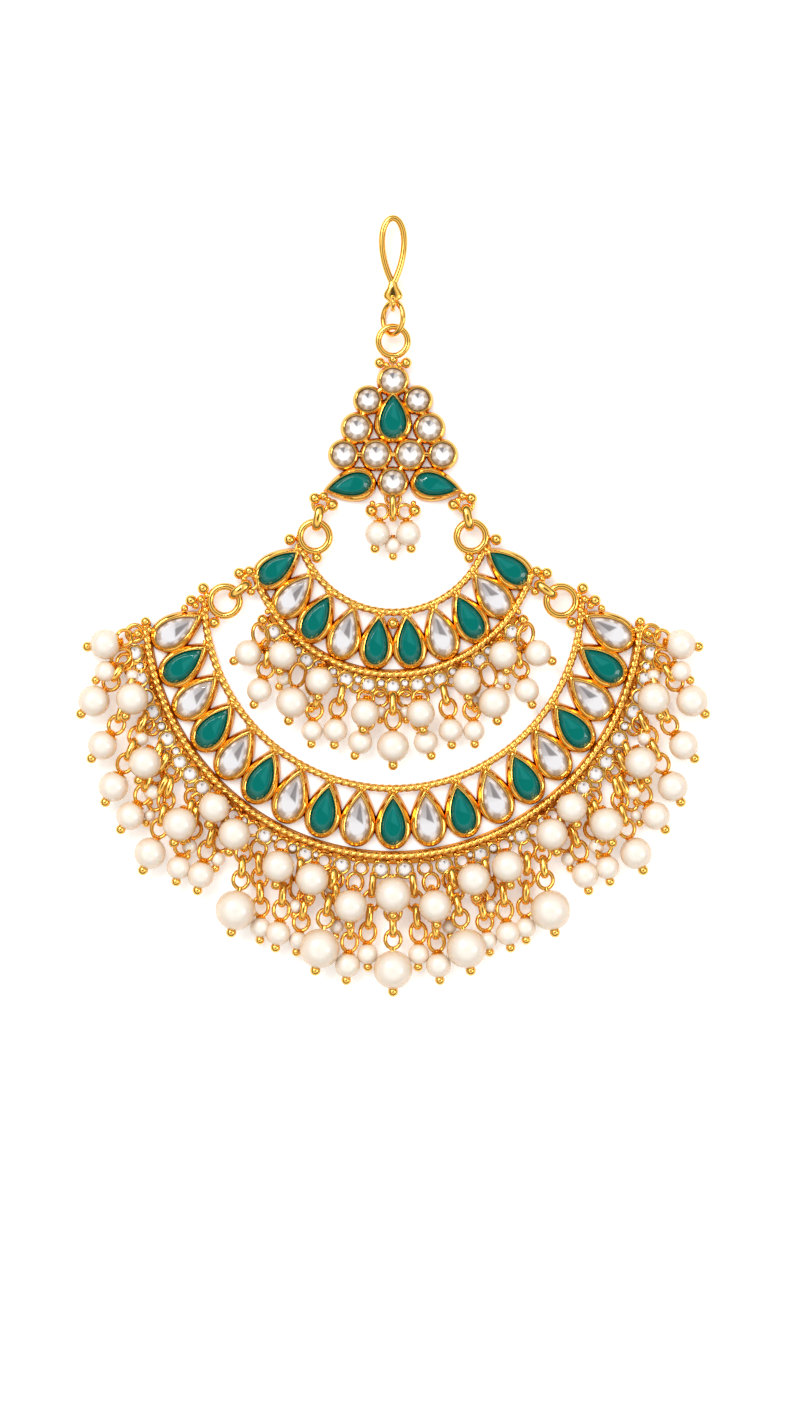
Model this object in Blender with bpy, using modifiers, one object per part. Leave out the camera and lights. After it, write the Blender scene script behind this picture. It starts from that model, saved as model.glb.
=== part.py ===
"""A jhoomar, a crescent head ornament, as it lies on its back.

Metres, +Z up off the surface, +Y towards the hook. X = 0 is the line that the ornament mirrors in.
Angles of the crescents and fringes are degrees from straight down (-Y), growing to both sides.
"""

from math import atan2, cos, degrees, hypot, pi, radians, sin, sqrt

import bmesh
import bpy
from mathutils import Matrix, Vector

MM = 0.001

# Clearance between neighbouring pieces, and how far soldered pieces run into each other
GAP = 0.3 * MM
SINK = 0.2 * MM
SIDES = 10
WIRE_SIDES = 5

# Settings: a bezel's wall stands round its stone with the gap between
BEZEL_WALL = 0.4 * MM
BEZEL_HEIGHT = 2.0 * MM
POCKET_FLOOR = 0.7 * MM
STONE_HEIGHT = 1.8 * MM
GIRDLE_SHARE = 0.42
TABLE_SHARE = 0.6
CULET_SHARE = 0.62
PEAR_POINT = 0.9

# Stones: length, width, and how many times its wall's offset a setting's point runs out. Then a diameter
OUTER_PEAR = (8.0 * MM, 5.0 * MM, 2.75)
INNER_PEAR = (7.2 * MM, 4.5 * MM, 1.6)
CROWN_PEAR = (7.2 * MM, 5.2 * MM, 1.6)
SIDE_PEAR = (7.3 * MM, 4.4 * MM, 1.6)
ROUND_STONE = 4.3 * MM
ROUND_WALL = 0.7 * MM

# Outer crescent
OUTER_Y = 1.2 * MM
OUTER_RADIUS = 34.0 * MM
OUTER_RIM_Y = -0.3 * MM
OUTER_RIM_SPACE = 2.7 * MM
OUTER_RIM_RADIUS = OUTER_RADIUS + OUTER_PEAR[0] + OUTER_RIM_SPACE
OUTER_STONES = 19
OUTER_TIP_FAN = 1.064
OUTER_END = (90.0, 87.0)
OUTER_GALLERY_END = 82.0

# Inner crescent
INNER_Y = 16.5 * MM
INNER_RADIUS = 17.5 * MM
INNER_RIM_Y = 14.1 * MM
INNER_RIM_SPACE = 1.6 * MM
INNER_RIM_RADIUS = INNER_RADIUS + INNER_PEAR[0] + INNER_RIM_SPACE
INNER_STONES = 10
INNER_TIP_FAN = 1.08
INNER_END = (77.0, 73.0)
INNER_GALLERY_END = 56.0

# Rope borders, the plain channel inside the outer one, and the strip that carries small crystals
ROPE_RADIUS = 0.6 * MM
ROPE_Z = 1.25 * MM
OUTER_CHANNEL_WIDTH = 0.6 * MM
INNER_CHANNEL_WIDTH = 1.3 * MM
BEZEL_SPREAD = 1.02
GALLERY_WIDTH = 3.1 * MM
GALLERY_HEIGHT = 1.2 * MM
GRANULE = 1.05 * MM

# Top plate: round settings (x and y as shares of the plate's size, from its middle)
PLATE_Y = 31.5 * MM
PLATE_SIZE = 10.0 * MM
PLATE_ROUNDS = ((0.0, 0.93), (0.45, 0.578), (0.653, 0.072), (0.891, -0.405), (0.305, -0.405), (0.0, -0.902))
CROWN_PLACE = (0.0, 0.25, 90.0)
SIDE_PLACE = (0.755, -0.955, -11.0)
CORNER_EYE_PLACE = (1.305, -1.31)
CORNER_GRANULES = (45.0, 107.0, 180.0)

# Rings, eyes and links
RING_RADIUS = 2.65 * MM
RING_WIRE = 0.6 * MM
RING_Z = 1.85 * MM
EYE_RADIUS = 1.35 * MM
EYE_WIRE = 0.4 * MM
LINK_THICK = 0.8 * MM
LINK_WIDTH = 1.2 * MM
UPPER_RING_INSET = 0.75 * MM
UPPER_RING_DROP = 3.9 * MM
UPPER_RING_PLACE = (INNER_RADIUS - RING_RADIUS - UPPER_RING_INSET, INNER_Y - UPPER_RING_DROP)
LOWER_RING_INSET = 1.05 * MM
LOWER_RING_DROP = 0.2 * MM
LOWER_RING_PLACE = (OUTER_RADIUS - RING_RADIUS - LOWER_RING_INSET, OUTER_Y - LOWER_RING_DROP)
UPPER_GRANULES = (-7.0, -98.0)
LOWER_GRANULES = (27.0, -3.0, -65.0)
INNER_EYE_INSET = 0.6 * MM
INNER_EYE_DROP = 9.7 * MM
INNER_EYE_PLACE = (INNER_RIM_RADIUS - INNER_EYE_INSET, INNER_RIM_Y - INNER_EYE_DROP)
INNER_EYE_GRANULES = (37.0, 84.0)
END_RING_RADIUS = 1.45 * MM
END_RING_WIRE = 0.45 * MM
END_RING_ANGLE = 84.5

# Hook, the oval link below it and the ring that the link passes through
HOOK_LENGTH = 12.4 * MM
HOOK_WIDTH = 5.1 * MM
HOOK_WIRE = 0.55 * MM
HOOK_TOP = 70.5 * MM
COLLAR_LENGTH = 3.4 * MM
COLLAR_WIDTH = 3.5 * MM
COLLAR_THICK = 1.2 * MM
TAB_WIRE = 0.4 * MM
TAB_LENGTH = 0.95 * MM
TAB_HEIGHT = 1.95 * MM
TOP_RING_WIRE = 0.6 * MM
TOP_RING_Z = 2.45 * MM
OVAL_WIDTH = 1.8 * MM
OVAL_LENGTH = 2.9 * MM
OVAL_WIRE = 0.5 * MM
OVAL_RISE = 1.9 * MM

# Pearls on their head pins, and the wire core that stands in each short chain
PEARL = 6.0 * MM
PIN_HEAD = 0.95 * MM
CAP_LENGTH = 0.9 * MM
PEARL_RIM = 36
CHAIN_RADIUS = 0.6 * MM
CHAIN_Z = 1.0 * MM

# Outer fringe: angle, how far out the pearl hangs, its size, turn of its pin, where its chain starts
OUTER_DROP = 18.0 * MM
LOWER, FRONT = 0, 1
OUTER_FRINGE = (
    # angle, reach, pearl, pin, chain, row
    (82.8, 0.16, 0.93, 81.9, 84.6, LOWER),
    (72.8, 0.40, 0.96, 56.7, 79.6, LOWER),
    (64.7, 0.48, 0.89, 39.9, 74.8, LOWER),
    (57.5, 0.58, 0.92, 28.1, 66.6, LOWER),
    (51.7, 0.61, 0.85, 35.4, 59.6, LOWER),
    (44.8, 0.71, 0.96, 23.0, 54.2, LOWER),
    (27.5, 0.66, 1.22, 10.8, 33.2, LOWER),
    (12.2, 0.74, 1.21, 10.6, 12.6, LOWER),
    (70.8, 0.01, 0.98, 20.6, 71.6, FRONT),
    (58.1, 0.18, 0.98, 18.7, 61.8, FRONT),
    (44.6, 0.29, 1.02, 15.5, 48.8, FRONT),
    (41.9, -0.06, 0.93, 15.7, 41.9, FRONT),
    (35.1, 0.02, 0.97, 15.6, 35.6, FRONT),
    (23.9, 0.08, 0.97, 7.0, 24.4, FRONT),
    (16.6, 0.09, 0.98, 7.8, 17.0, FRONT),
    (8.1, 0.26, 1.00, 3.6, 8.2, FRONT),
)
OUTER_CENTRE_DROPS = (
    (0.0, 0.86, 1.18, 0.0, 0.0, LOWER),
    (0.0, 0.12, 1.10, 0.0, 0.0, FRONT),
)

# Inner fringe, with the same columns
INNER_DROP = 11.0 * MM
INNER_FRINGE = (
    (49.2, 0.33, 0.82, 61.2, 56.5, LOWER),
    (30.1, 0.49, 0.96, 9.9, 34.0, LOWER),
    (40.9, -0.06, 0.86, 11.4, 40.8, FRONT),
    (25.5, -0.03, 0.84, 4.8, 25.4, FRONT),
    (8.5, 0.25, 0.85, 7.3, 8.6, FRONT),
)
INNER_CENTRE_DROPS = ((0.0, 0.77, 0.98, 0.0, 0.0, LOWER),)

# Drops below the top plate: x, y of the pearl and of its chain's start, and the pearl's size
TOP_DROPS = ((2.8, 13.1, 3.0, 17.6, 0.77), (0.0, 11.0, 0.0, 18.9, 0.51))

GOLD = (0.86, 0.56, 0.19)
PEARL_CREAM = (0.9, 0.83, 0.72)
GREEN = (0.0, 0.21, 0.17)
CLEAR = (0.82, 0.81, 0.82)


def clear_scene():
    for thing in list(bpy.data.objects):
        bpy.data.objects.remove(thing)


def new_collection(name, hidden=False):
    made = bpy.data.collections.new(name)
    bpy.context.scene.collection.children.link(made)
    made.hide_render = hidden
    return made


def principled(name, colour, roughness, metallic):
    made = bpy.data.materials.new(name)
    made.use_nodes = True
    shader = made.node_tree.nodes["Principled BSDF"]
    shader.inputs["Base Color"].default_value = (*colour, 1.0)
    shader.inputs["Roughness"].default_value = roughness
    shader.inputs["Metallic"].default_value = metallic
    made.diffuse_color = (*colour, 1.0)
    return made


def link_object(name, data, place=None):
    made = bpy.data.objects.new(name, data)
    PIECES.objects.link(made)
    if place is not None:
        made.matrix_world = place
    return made


def as_mesh(source):
    """The evaluated shape of a curve or turned profile as a plain mesh object in world space."""
    bpy.context.view_layer.update()
    evaluated = source.evaluated_get(bpy.context.evaluated_depsgraph_get())
    data = bpy.data.meshes.new_from_object(evaluated)
    data.transform(source.matrix_world)
    shape = bmesh.new()
    shape.from_mesh(data)
    bmesh.ops.remove_doubles(shape, verts=shape.verts, dist=0.001 * MM)
    bmesh.ops.recalc_face_normals(shape, faces=shape.faces)
    shape.to_mesh(data)
    shape.free()
    made = link_object(source.name, data)
    bpy.data.objects.remove(source)
    return made


def placed(x, y, z=0.0, turn=0.0):
    return Matrix.Translation((x, y, z)) @ Matrix.Rotation(turn, 4, "Z")


def mirrored(places):
    """Each row of a table of (x, ...) at both sides, or once where x is 0."""
    return [(side * row[0], *row[1:]) for row in places for side in ((1, -1) if row[0] else (1,))]


def around(centre_y, radius, angle, side=1):
    """The point at an angle from straight down on a circle round (0, centre_y)."""
    return Vector((side * radius * sin(radians(angle)), centre_y - radius * cos(radians(angle)), 0.0))


def wire(points, radius, closed=False, sides=6):
    """A round wire through the points."""
    curve = bpy.data.curves.new("wire", "CURVE")
    curve.dimensions = "3D"
    curve.bevel_depth = radius
    curve.bevel_resolution = (sides - 4) // 2
    curve.use_fill_caps = not closed
    spline = curve.splines.new("POLY")
    spline.points.add(len(points) - 1)
    for point, place in zip(spline.points, points):
        point.co = (*place, 1.0)
    spline.use_cyclic_u = closed
    return as_mesh(link_object("wire", curve))


def ring(centre, radius, wire_radius):
    """A round ring that lies flat."""
    bpy.ops.mesh.primitive_torus_add(location=centre, major_radius=radius, minor_radius=wire_radius,
                                     major_segments=SIDES, minor_segments=WIRE_SIDES)
    made = bpy.context.object
    for holder in list(made.users_collection):
        holder.objects.unlink(made)
    PIECES.objects.link(made)
    made.data.transform(made.matrix_basis)
    made.matrix_basis = Matrix()
    return made


def turned(profile, place, sides=SIDES):
    """A profile of (radius, height) turned about Z, running down its outer side."""
    data = bpy.data.meshes.new("turned")
    points = [(radius, 0.0, height) for radius, height in profile]
    data.from_pydata(points, [(i, i + 1) for i in range(len(points) - 1)], [])
    made = link_object("turned", data, place)
    screw = made.modifiers.new("Turn", "SCREW")
    screw.steps = screw.render_steps = sides
    screw.use_merge_vertices = True
    screw.merge_threshold = 0.0001 * MM
    return as_mesh(made)


def bead(centre, radius, bands=3):
    profile = [(radius * sin(pi * i / bands), radius * cos(pi * i / bands)) for i in range(1, bands)]
    return turned([(0.0, radius), *profile, (0.0, -radius)], Matrix.Translation(centre))


def pear_outline(size, offset=0.0, share=1.0, sides=SIDES):
    """Points of a pear shape round its middle, its tip at +X, grown by an offset or shrunk to a share."""
    length, width, point = size
    tip = length / 2 + point * offset
    end = length / 2 + offset
    half = width / 2 + offset
    steps = [2 * pi * step / sides for step in range(sides)]
    widest = max(sin(pi * t / 180) * sin(pi * t / 360) ** PEAR_POINT for t in range(1, 180))
    points = []
    for turn in steps:
        along = (tip - end) / 2 + (tip + end) / 2 * cos(turn)
        across = half / widest * sin(turn) * abs(sin(turn / 2)) ** PEAR_POINT
        points.append((share * along, share * across))
    return points


def loft(name, sections, place):
    """A closed solid through outlines of the same number of points, capped at the first and the last."""
    shape = bmesh.new()
    rows = [[shape.verts.new((x, y, z)) for x, y in outline] for outline, z in sections]
    for lower, upper in zip(rows, rows[1:]):
        for i in range(len(lower)):
            j = (i + 1) % len(lower)
            shape.faces.new((lower[i], lower[j], upper[j], upper[i]))
    shape.faces.new(rows[0][::-1])
    shape.faces.new(rows[-1])
    bmesh.ops.recalc_face_normals(shape, faces=shape.faces)
    shape.transform(place)
    data = bpy.data.meshes.new(name)
    shape.to_mesh(data)
    shape.free()
    return link_object(name, data)


def pear_bezel(size, place):
    inside = pear_outline(size, GAP)
    outside = pear_outline(size, GAP + BEZEL_WALL)
    sections = [(outside, 0.0), (outside, BEZEL_HEIGHT), (inside, BEZEL_HEIGHT), (inside, POCKET_FLOOR)]
    return loft("bezel", sections, place)


def pear_stone(name, size, place, gem):
    """A cut pear: a small flat back, its widest line, and a flat table."""
    low = POCKET_FLOOR + GAP
    sections = [
        (pear_outline(size, share=CULET_SHARE), low),
        (pear_outline(size), low + GIRDLE_SHARE * STONE_HEIGHT),
        (pear_outline(size, share=TABLE_SHARE), low + STONE_HEIGHT),
    ]
    return finish(name, [loft(name, sections, place)], gem)


def round_setting(x, y):
    """A round stone in its bezel: table, a facet to each side, and the wall round it."""
    inside = ROUND_STONE / 2
    outside = inside + GAP + ROUND_WALL
    top = POCKET_FLOOR + GAP + STONE_HEIGHT
    profile = [(0.0, top), (TABLE_SHARE * inside, top), (inside, BEZEL_HEIGHT - GAP)]
    profile += [(outside, BEZEL_HEIGHT), (outside, 0.0), (0.0, 0.0)]
    return turned(profile, placed(x, y))


def finish(name, shapes, material):
    """One named piece, joined into a single body from shapes that run into each other."""
    body = shapes[0]
    body.name = name
    body.data.name = name
    for shape in shapes:
        shape.data.materials.clear()
        shape.data.materials.append(material)
    if len(shapes) > 1:
        joined = bpy.data.collections.new(name + " shapes")
        HIDDEN.children.link(joined)
        for shape in shapes[1:]:
            PIECES.objects.unlink(shape)
            joined.objects.link(shape)
            shape.hide_render = True
            shape.display_type = "WIRE"
        JOINS.append((body, joined))
    return body


def solder():
    """Joins each piece's shapes. It comes last, so that no join is worked out twice."""
    for body, joined in JOINS:
        union = body.modifiers.new("Solder", "BOOLEAN")
        union.operation = "UNION"
        union.operand_type = "COLLECTION"
        union.collection = joined
        union.solver = "EXACT"


def pear_ring(size, count, centre_y, rope_radius, tip_fan):
    """Places of a crescent's pears, tips on the inner rope: (x, y, turn, index from the middle)."""
    around_all = GAP + BEZEL_WALL
    bezel_width = size[1] + 2 * around_all
    tip_radius = rope_radius + ROPE_RADIUS - SINK
    length = size[0] + (1 + size[2]) * around_all
    round_radius = tip_radius + length - bezel_width / 2
    pitch = degrees(BEZEL_SPREAD * bezel_width / round_radius)
    places = []
    for step in range(count):
        number = step - (count - 1) / 2
        tip = around(centre_y, tip_radius, tip_fan * pitch * number)
        back = around(centre_y, round_radius, pitch * number)
        toward_tip = (tip - back).normalized()
        middle = tip - toward_tip * (size[0] / 2 + size[2] * around_all)
        places.append((middle.x, middle.y, atan2(toward_tip.y, toward_tip.x), number))
    return places


def arc(centre_y, radius, first, last, count):
    angles = [first + (last - first) * step / (count - 1) for step in range(count)]
    return [around(centre_y, radius, angle) for angle in angles]


def rope(centre_y, radius, end, count):
    """A rope border along one edge of a crescent."""
    lift = Vector((0.0, 0.0, ROPE_Z))
    return wire([point + lift for point in arc(centre_y, radius, -end, end, count)], ROPE_RADIUS)


def strip(outer, inner, low, high):
    """A flat strip between two arcs."""
    curve = bpy.data.curves.new("strip", "CURVE")
    curve.dimensions = "2D"
    curve.fill_mode = "BOTH"
    curve.extrude = (high - low) / 2
    spline = curve.splines.new("POLY")
    outline = outer + inner[::-1]
    spline.points.add(len(outline) - 1)
    for point, place in zip(spline.points, outline):
        point.co = (*place, 1.0)
    spline.use_cyclic_u = True
    return as_mesh(link_object("strip", curve, placed(0.0, 0.0, (low + high) / 2)))


def rim_strip(rim_y, rim_radius, reach, channel, end, gallery_end, count):
    """The channel that carries the backs of the bezels, run on outside the rope to carry the crystals."""
    edge = arc(rim_y, rim_radius + ROPE_RADIUS + GALLERY_WIDTH, -gallery_end, gallery_end, count)
    first, last = [arc(rim_y, rim_radius, side * gallery_end, side * end, 2) for side in (-1, 1)]
    inside = arc(rim_y + reach, rim_radius - channel, -end, end, count)
    return strip(first[::-1] + edge + last, inside, SINK, GALLERY_HEIGHT)


def rings_at(place, radius, wire_radius, height):
    return [ring(Vector((x, y, height)), radius, wire_radius) for x, y in mirrored([place])]


def granules_round(place, radius, angles):
    """Granules soldered round a ring or an eye, by angle from +X on the right-hand side."""
    reach = radius + 0.8 * GRANULE
    beads = [(place[0] + reach * cos(radians(angle)), place[1] + reach * sin(radians(angle))) for angle in angles]
    return [bead(Vector((x, y, RING_Z)), GRANULE) for x, y in mirrored(beads)]


def corner_link(name, ring_place, eye_place):
    """An oval link on edge, sized to pass through a ring and an eye with the gap round both wires."""
    eye = Vector((*eye_place, RING_Z))
    target = Vector((*ring_place, RING_Z))
    away = (target - eye).normalized()
    half = LINK_THICK / 2
    near = EYE_RADIUS - EYE_WIRE - GAP - half
    far = (target - eye).length - RING_RADIUS + RING_WIRE + GAP + half
    rise = RING_WIRE + GAP + half
    ends = (eye + away * (near + rise), eye + away * (far - rise))
    points = []
    for end, start in zip(ends, (pi / 2, -pi / 2)):
        for step in range(5):
            turn = start + pi * step / 4
            points.append(end + rise * (away * cos(turn) + Vector((0.0, 0.0, sin(turn)))))
    made = wire(points, half, True)
    side = away.cross(Vector((0.0, 0.0, 1.0)))
    widen = Matrix.Translation(eye) @ Matrix.Scale(LINK_WIDTH / LINK_THICK, 4, side)
    made.data.transform(widen @ Matrix.Translation(-eye))
    return finish(name, [made], METAL)


def drop_shapes(x, y, height, radius, pin, start):
    """A pearl with its pin's ball and cap, turned about the pin, and its chain's core."""
    profile = [(0.0, radius + CAP_LENGTH)]
    for angle in (PEARL_RIM, 90, 180 - PEARL_RIM):
        profile.append((radius * sin(radians(angle)), radius * cos(radians(angle))))
    profile += [(PIN_HEAD, -radius - PIN_HEAD), (0.0, -radius - 2 * PIN_HEAD)]
    toward_cap = Vector((-sin(pin), cos(pin), 0.0))
    lean = Vector((0.0, 0.0, 1.0)).rotation_difference(toward_cap).to_matrix().to_4x4()
    centre = Vector((x, y, height))
    return [turned(profile, Matrix.Translation(centre) @ lean), wire([start, centre], CHAIN_RADIUS)]


def resting_height(x, y, radius, laid):
    """The height at which a pearl lies on the capsules (start, end, radius, room) that are laid."""
    height = radius
    for start, end, below, room in laid:
        span = (end - start).xy
        offset = Vector((x, y)) - start.xy
        share = min(1.0, max(0.0, offset.dot(span) / span.length_squared)) if span.length else 0.0
        nearest = start.lerp(end, share)
        reach = radius + below + room
        apart = hypot(x - nearest.x, y - nearest.y)
        if apart < reach:
            height = max(height, nearest.z + sqrt(reach * reach - apart * apart))
    return height


def fringe(rim_y, rim_radius, drop, table, sides, laid):
    """Every drop of a table, the lower row first, on the row of small rings that its chains start from."""
    rail = rim_radius + ROPE_RADIUS + GALLERY_WIDTH + GAP + CHAIN_RADIUS
    lift = Vector((0.0, 0.0, CHAIN_Z))
    chains = [side * row[4] for row in table for side in sides]
    shapes = []
    if max(chains) > min(chains):
        turns = arc(rim_y, rail, min(chains), max(chains), 6 * len(sides) + 5)
        shapes.append(wire([point + lift for point in turns], CHAIN_RADIUS))
    for angle, reach, pearl, pin, chain, row in table:
        for side in sides:
            place = around(rim_y, rail + reach * drop, angle, side)
            start = around(rim_y, rail, chain, side) + lift
            radius = pearl * PEARL / 2
            height = radius if row == LOWER else resting_height(place.x, place.y, radius, laid)
            centre = Vector((place.x, place.y, height))
            laid.append((start, centre, CHAIN_RADIUS, -SINK))
            laid.append((centre, centre, radius, -SINK))
            shapes += drop_shapes(place.x, place.y, height, radius, -side * radians(pin), start)
    return shapes


def gallery_room(rim_y, rim_radius, end):
    """Capsules along the gallery strip, for pearls that lie over it to keep clear of."""
    half = GALLERY_WIDTH / 2
    points = arc(rim_y, rim_radius + ROPE_RADIUS + half, -end, end, 24)
    low = Vector((0.0, 0.0, GALLERY_HEIGHT - half))
    return [(start + low, stop + low, half, GAP) for start, stop in zip(points, points[1:])]


def make_hook():
    """A wire bent into a long loop, a flat collar, and a tab curled round the oval link."""
    loop_length = HOOK_LENGTH - HOOK_WIRE
    centre_y = HOOK_TOP - HOOK_WIRE - loop_length / 2
    outline = pear_outline((loop_length, HOOK_WIDTH - 2 * HOOK_WIRE, 1.0), sides=14)
    loop = wire([Vector((-v, centre_y - u, TOP_RING_Z)) for u, v in outline], HOOK_WIRE, True)
    top = HOOK_TOP - HOOK_LENGTH + HOOK_WIRE
    shoulder = COLLAR_WIDTH / 2
    neck = HOOK_WIRE * 1.2
    half_outline = [(neck, 0.0), (shoulder, -0.55), (shoulder, -0.8), (neck, -1.0)]
    outline = half_outline + [(-x, y) for x, y in reversed(half_outline)]
    outline = [(x, top + y * COLLAR_LENGTH) for x, y in outline]
    half = COLLAR_THICK / 2
    collar = loft("collar", [(outline, TOP_RING_Z - half), (outline, TOP_RING_Z + half)], Matrix())
    tab_y = top - COLLAR_LENGTH - TAB_LENGTH / 2
    turns = [2 * pi * step / SIDES for step in range(SIDES)]
    tab = wire([Vector((0.0, tab_y + TAB_LENGTH * 1.25 * cos(t), TOP_RING_Z + TAB_HEIGHT * sin(t)))
                for t in turns], TAB_WIRE, True)
    finish("hook", [loop, collar, tab], METAL)
    return tab_y


def make_top_link(top_y):
    """The oval link: one long side passes under its neighbours and the other over them."""
    centre = top_y - OVAL_LENGTH
    turns = [2 * pi * step / 12 for step in range(12)]
    points = []
    for t in turns:
        height = TOP_RING_Z + OVAL_RISE * cos(t)
        points.append(Vector((OVAL_WIDTH * cos(t), centre + OVAL_LENGTH * sin(t), height)))
    finish("top_link", [wire(points, OVAL_WIRE, True)], METAL)
    return centre - OVAL_LENGTH


def plate_point(place):
    return (place[0] * PLATE_SIZE, PLATE_Y + place[1] * PLATE_SIZE, *place[2:])


def make_top_plate(link_bottom):
    rounds = mirrored([plate_point(place) for place in PLATE_ROUNDS])
    crown = plate_point(CROWN_PLACE)
    side = plate_point(SIDE_PLACE)
    crown_place = placed(crown[0], crown[1], turn=radians(crown[2]))
    side_places = [placed(side[0], side[1], turn=radians(side[2])),
                   placed(-side[0], side[1], turn=pi - radians(side[2]))]
    shapes = [round_setting(x, y) for x, y in rounds]
    shapes.append(pear_bezel(CROWN_PEAR, crown_place))
    shapes += [pear_bezel(SIDE_PEAR, place) for place in side_places]
    ring_y = link_bottom + OVAL_WIRE + GAP + TOP_RING_WIRE - RING_RADIUS
    shapes.append(ring(Vector((0.0, ring_y, TOP_RING_Z)), RING_RADIUS, TOP_RING_WIRE))
    granule_y = ring_y - RING_RADIUS - 1.25 * GRANULE
    places = mirrored([(2.1 * GRANULE, granule_y), (0.0, granule_y + GRANULE / 2)])
    shapes += [bead(Vector((x, y, TOP_RING_Z - GRANULE / 2)), GRANULE) for x, y in places]
    eye = plate_point(CORNER_EYE_PLACE)
    shapes += rings_at(eye, EYE_RADIUS, EYE_WIRE, RING_Z)
    shapes += granules_round(eye, EYE_RADIUS, CORNER_GRANULES)
    finish("top_plate", shapes, METAL)
    pear_stone("crown_pear", CROWN_PEAR, crown_place, GREEN_STONE)
    for name, place in zip(("side_pear_right", "side_pear_left"), side_places):
        pear_stone(name, SIDE_PEAR, place, GREEN_STONE)
    return eye


def make_inner_crescent():
    pears = pear_ring(INNER_PEAR, INNER_STONES, INNER_Y, INNER_RADIUS, INNER_TIP_FAN)
    shapes = [rope(INNER_Y, INNER_RADIUS, INNER_END[0], 11)]
    shapes.append(rope(INNER_RIM_Y, INNER_RIM_RADIUS, INNER_END[1], 13))
    band = ((INNER_Y - INNER_RIM_Y) / 2, INNER_CHANNEL_WIDTH, INNER_END[1], INNER_GALLERY_END)
    shapes.append(rim_strip(INNER_RIM_Y, INNER_RIM_RADIUS, *band, 11))
    shapes += [pear_bezel(INNER_PEAR, placed(x, y, turn=turn)) for x, y, turn, _ in pears]
    shapes += rings_at(UPPER_RING_PLACE, RING_RADIUS, RING_WIRE, RING_Z)
    shapes += granules_round(UPPER_RING_PLACE, RING_RADIUS, UPPER_GRANULES)
    shapes += rings_at(INNER_EYE_PLACE, EYE_RADIUS, EYE_WIRE, RING_Z)
    shapes += granules_round(INNER_EYE_PLACE, EYE_RADIUS, INNER_EYE_GRANULES)
    finish("inner_crescent", shapes, METAL)
    for x, y, turn, number in pears:
        side = "right" if number > 0 else "left"
        gem = GREEN_STONE if int(abs(number)) % 2 == 0 else CLEAR_STONE
        name = f"inner_pear_{side}_{int(abs(number) + 1)}"
        pear_stone(name, INNER_PEAR, placed(x, y, turn=turn), gem)


def make_outer_crescent():
    pears = pear_ring(OUTER_PEAR, OUTER_STONES, OUTER_Y, OUTER_RADIUS, OUTER_TIP_FAN)
    shapes = [rope(OUTER_Y, OUTER_RADIUS, OUTER_END[0], 17)]
    shapes.append(rope(OUTER_RIM_Y, OUTER_RIM_RADIUS, OUTER_END[1], 19))
    band = ((OUTER_Y - OUTER_RIM_Y) / 2, OUTER_CHANNEL_WIDTH, OUTER_END[1], OUTER_GALLERY_END)
    shapes.append(rim_strip(OUTER_RIM_Y, OUTER_RIM_RADIUS, *band, 17))
    shapes += [pear_bezel(OUTER_PEAR, placed(x, y, turn=turn)) for x, y, turn, _ in pears]
    shapes += rings_at(LOWER_RING_PLACE, RING_RADIUS, RING_WIRE, RING_Z)
    shapes += granules_round(LOWER_RING_PLACE, RING_RADIUS, LOWER_GRANULES)
    end = around(OUTER_RIM_Y, OUTER_RIM_RADIUS + ROPE_RADIUS + END_RING_RADIUS, END_RING_ANGLE)
    shapes += rings_at((end.x, end.y), END_RING_RADIUS, END_RING_WIRE, ROPE_Z)
    finish("outer_crescent", shapes, METAL)
    for x, y, turn, number in pears:
        side = "right" if number > 0 else "left" if number < 0 else "centre"
        gem = GREEN_STONE if int(abs(number)) % 2 == 0 else CLEAR_STONE
        name = f"outer_pear_{side}_{int(abs(number))}" if number else "outer_pear_centre"
        pear_stone(name, OUTER_PEAR, placed(x, y, turn=turn), gem)


def make_top_drops():
    names = (("top_drop_right", "top_drop_left"), ("top_drop_centre",))
    for (x, y, start_x, start_y, pearl), drops in zip(TOP_DROPS, names):
        for name, side in zip(drops, (1, -1)):
            radius = pearl * PEARL / 2
            start = Vector((side * start_x * MM, start_y * MM, CHAIN_Z))
            pin = atan2(side * (start_x - x), start_y - y)
            finish(name, drop_shapes(side * x * MM, y * MM, radius, radius, -pin, start), BEAD)


def make_fringes():
    laid = gallery_room(INNER_RIM_Y, INNER_RIM_RADIUS, INNER_GALLERY_END)
    settings = (INNER_RIM_Y, INNER_RIM_RADIUS, INNER_DROP)
    centre = fringe(*settings, INNER_CENTRE_DROPS, (1,), laid)
    sides = fringe(*settings, INNER_FRINGE, (1, -1), laid)
    finish("inner_fringe", sides + centre, BEAD)
    laid = gallery_room(OUTER_RIM_Y, OUTER_RIM_RADIUS, OUTER_GALLERY_END)
    settings = (OUTER_RIM_Y, OUTER_RIM_RADIUS, OUTER_DROP)
    finish("outer_centre_drops", fringe(*settings, OUTER_CENTRE_DROPS, (1,), laid), BEAD)
    for side, name in ((1, "outer_fringe_right"), (-1, "outer_fringe_left")):
        finish(name, fringe(*settings, OUTER_FRINGE, (side,), laid), BEAD)


clear_scene()
PIECES = new_collection("Jhoomar")
HIDDEN = new_collection("Joined shapes", hidden=True)
METAL = principled("Gilt metal", GOLD, 0.2, 1.0)
BEAD = principled("Pearl", PEARL_CREAM, 0.25, 0.0)
GREEN_STONE = principled("Green stone", GREEN, 0.1, 0.0)
CLEAR_STONE = principled("Clear stone", CLEAR, 0.05, 0.0)
JOINS = []

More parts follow.
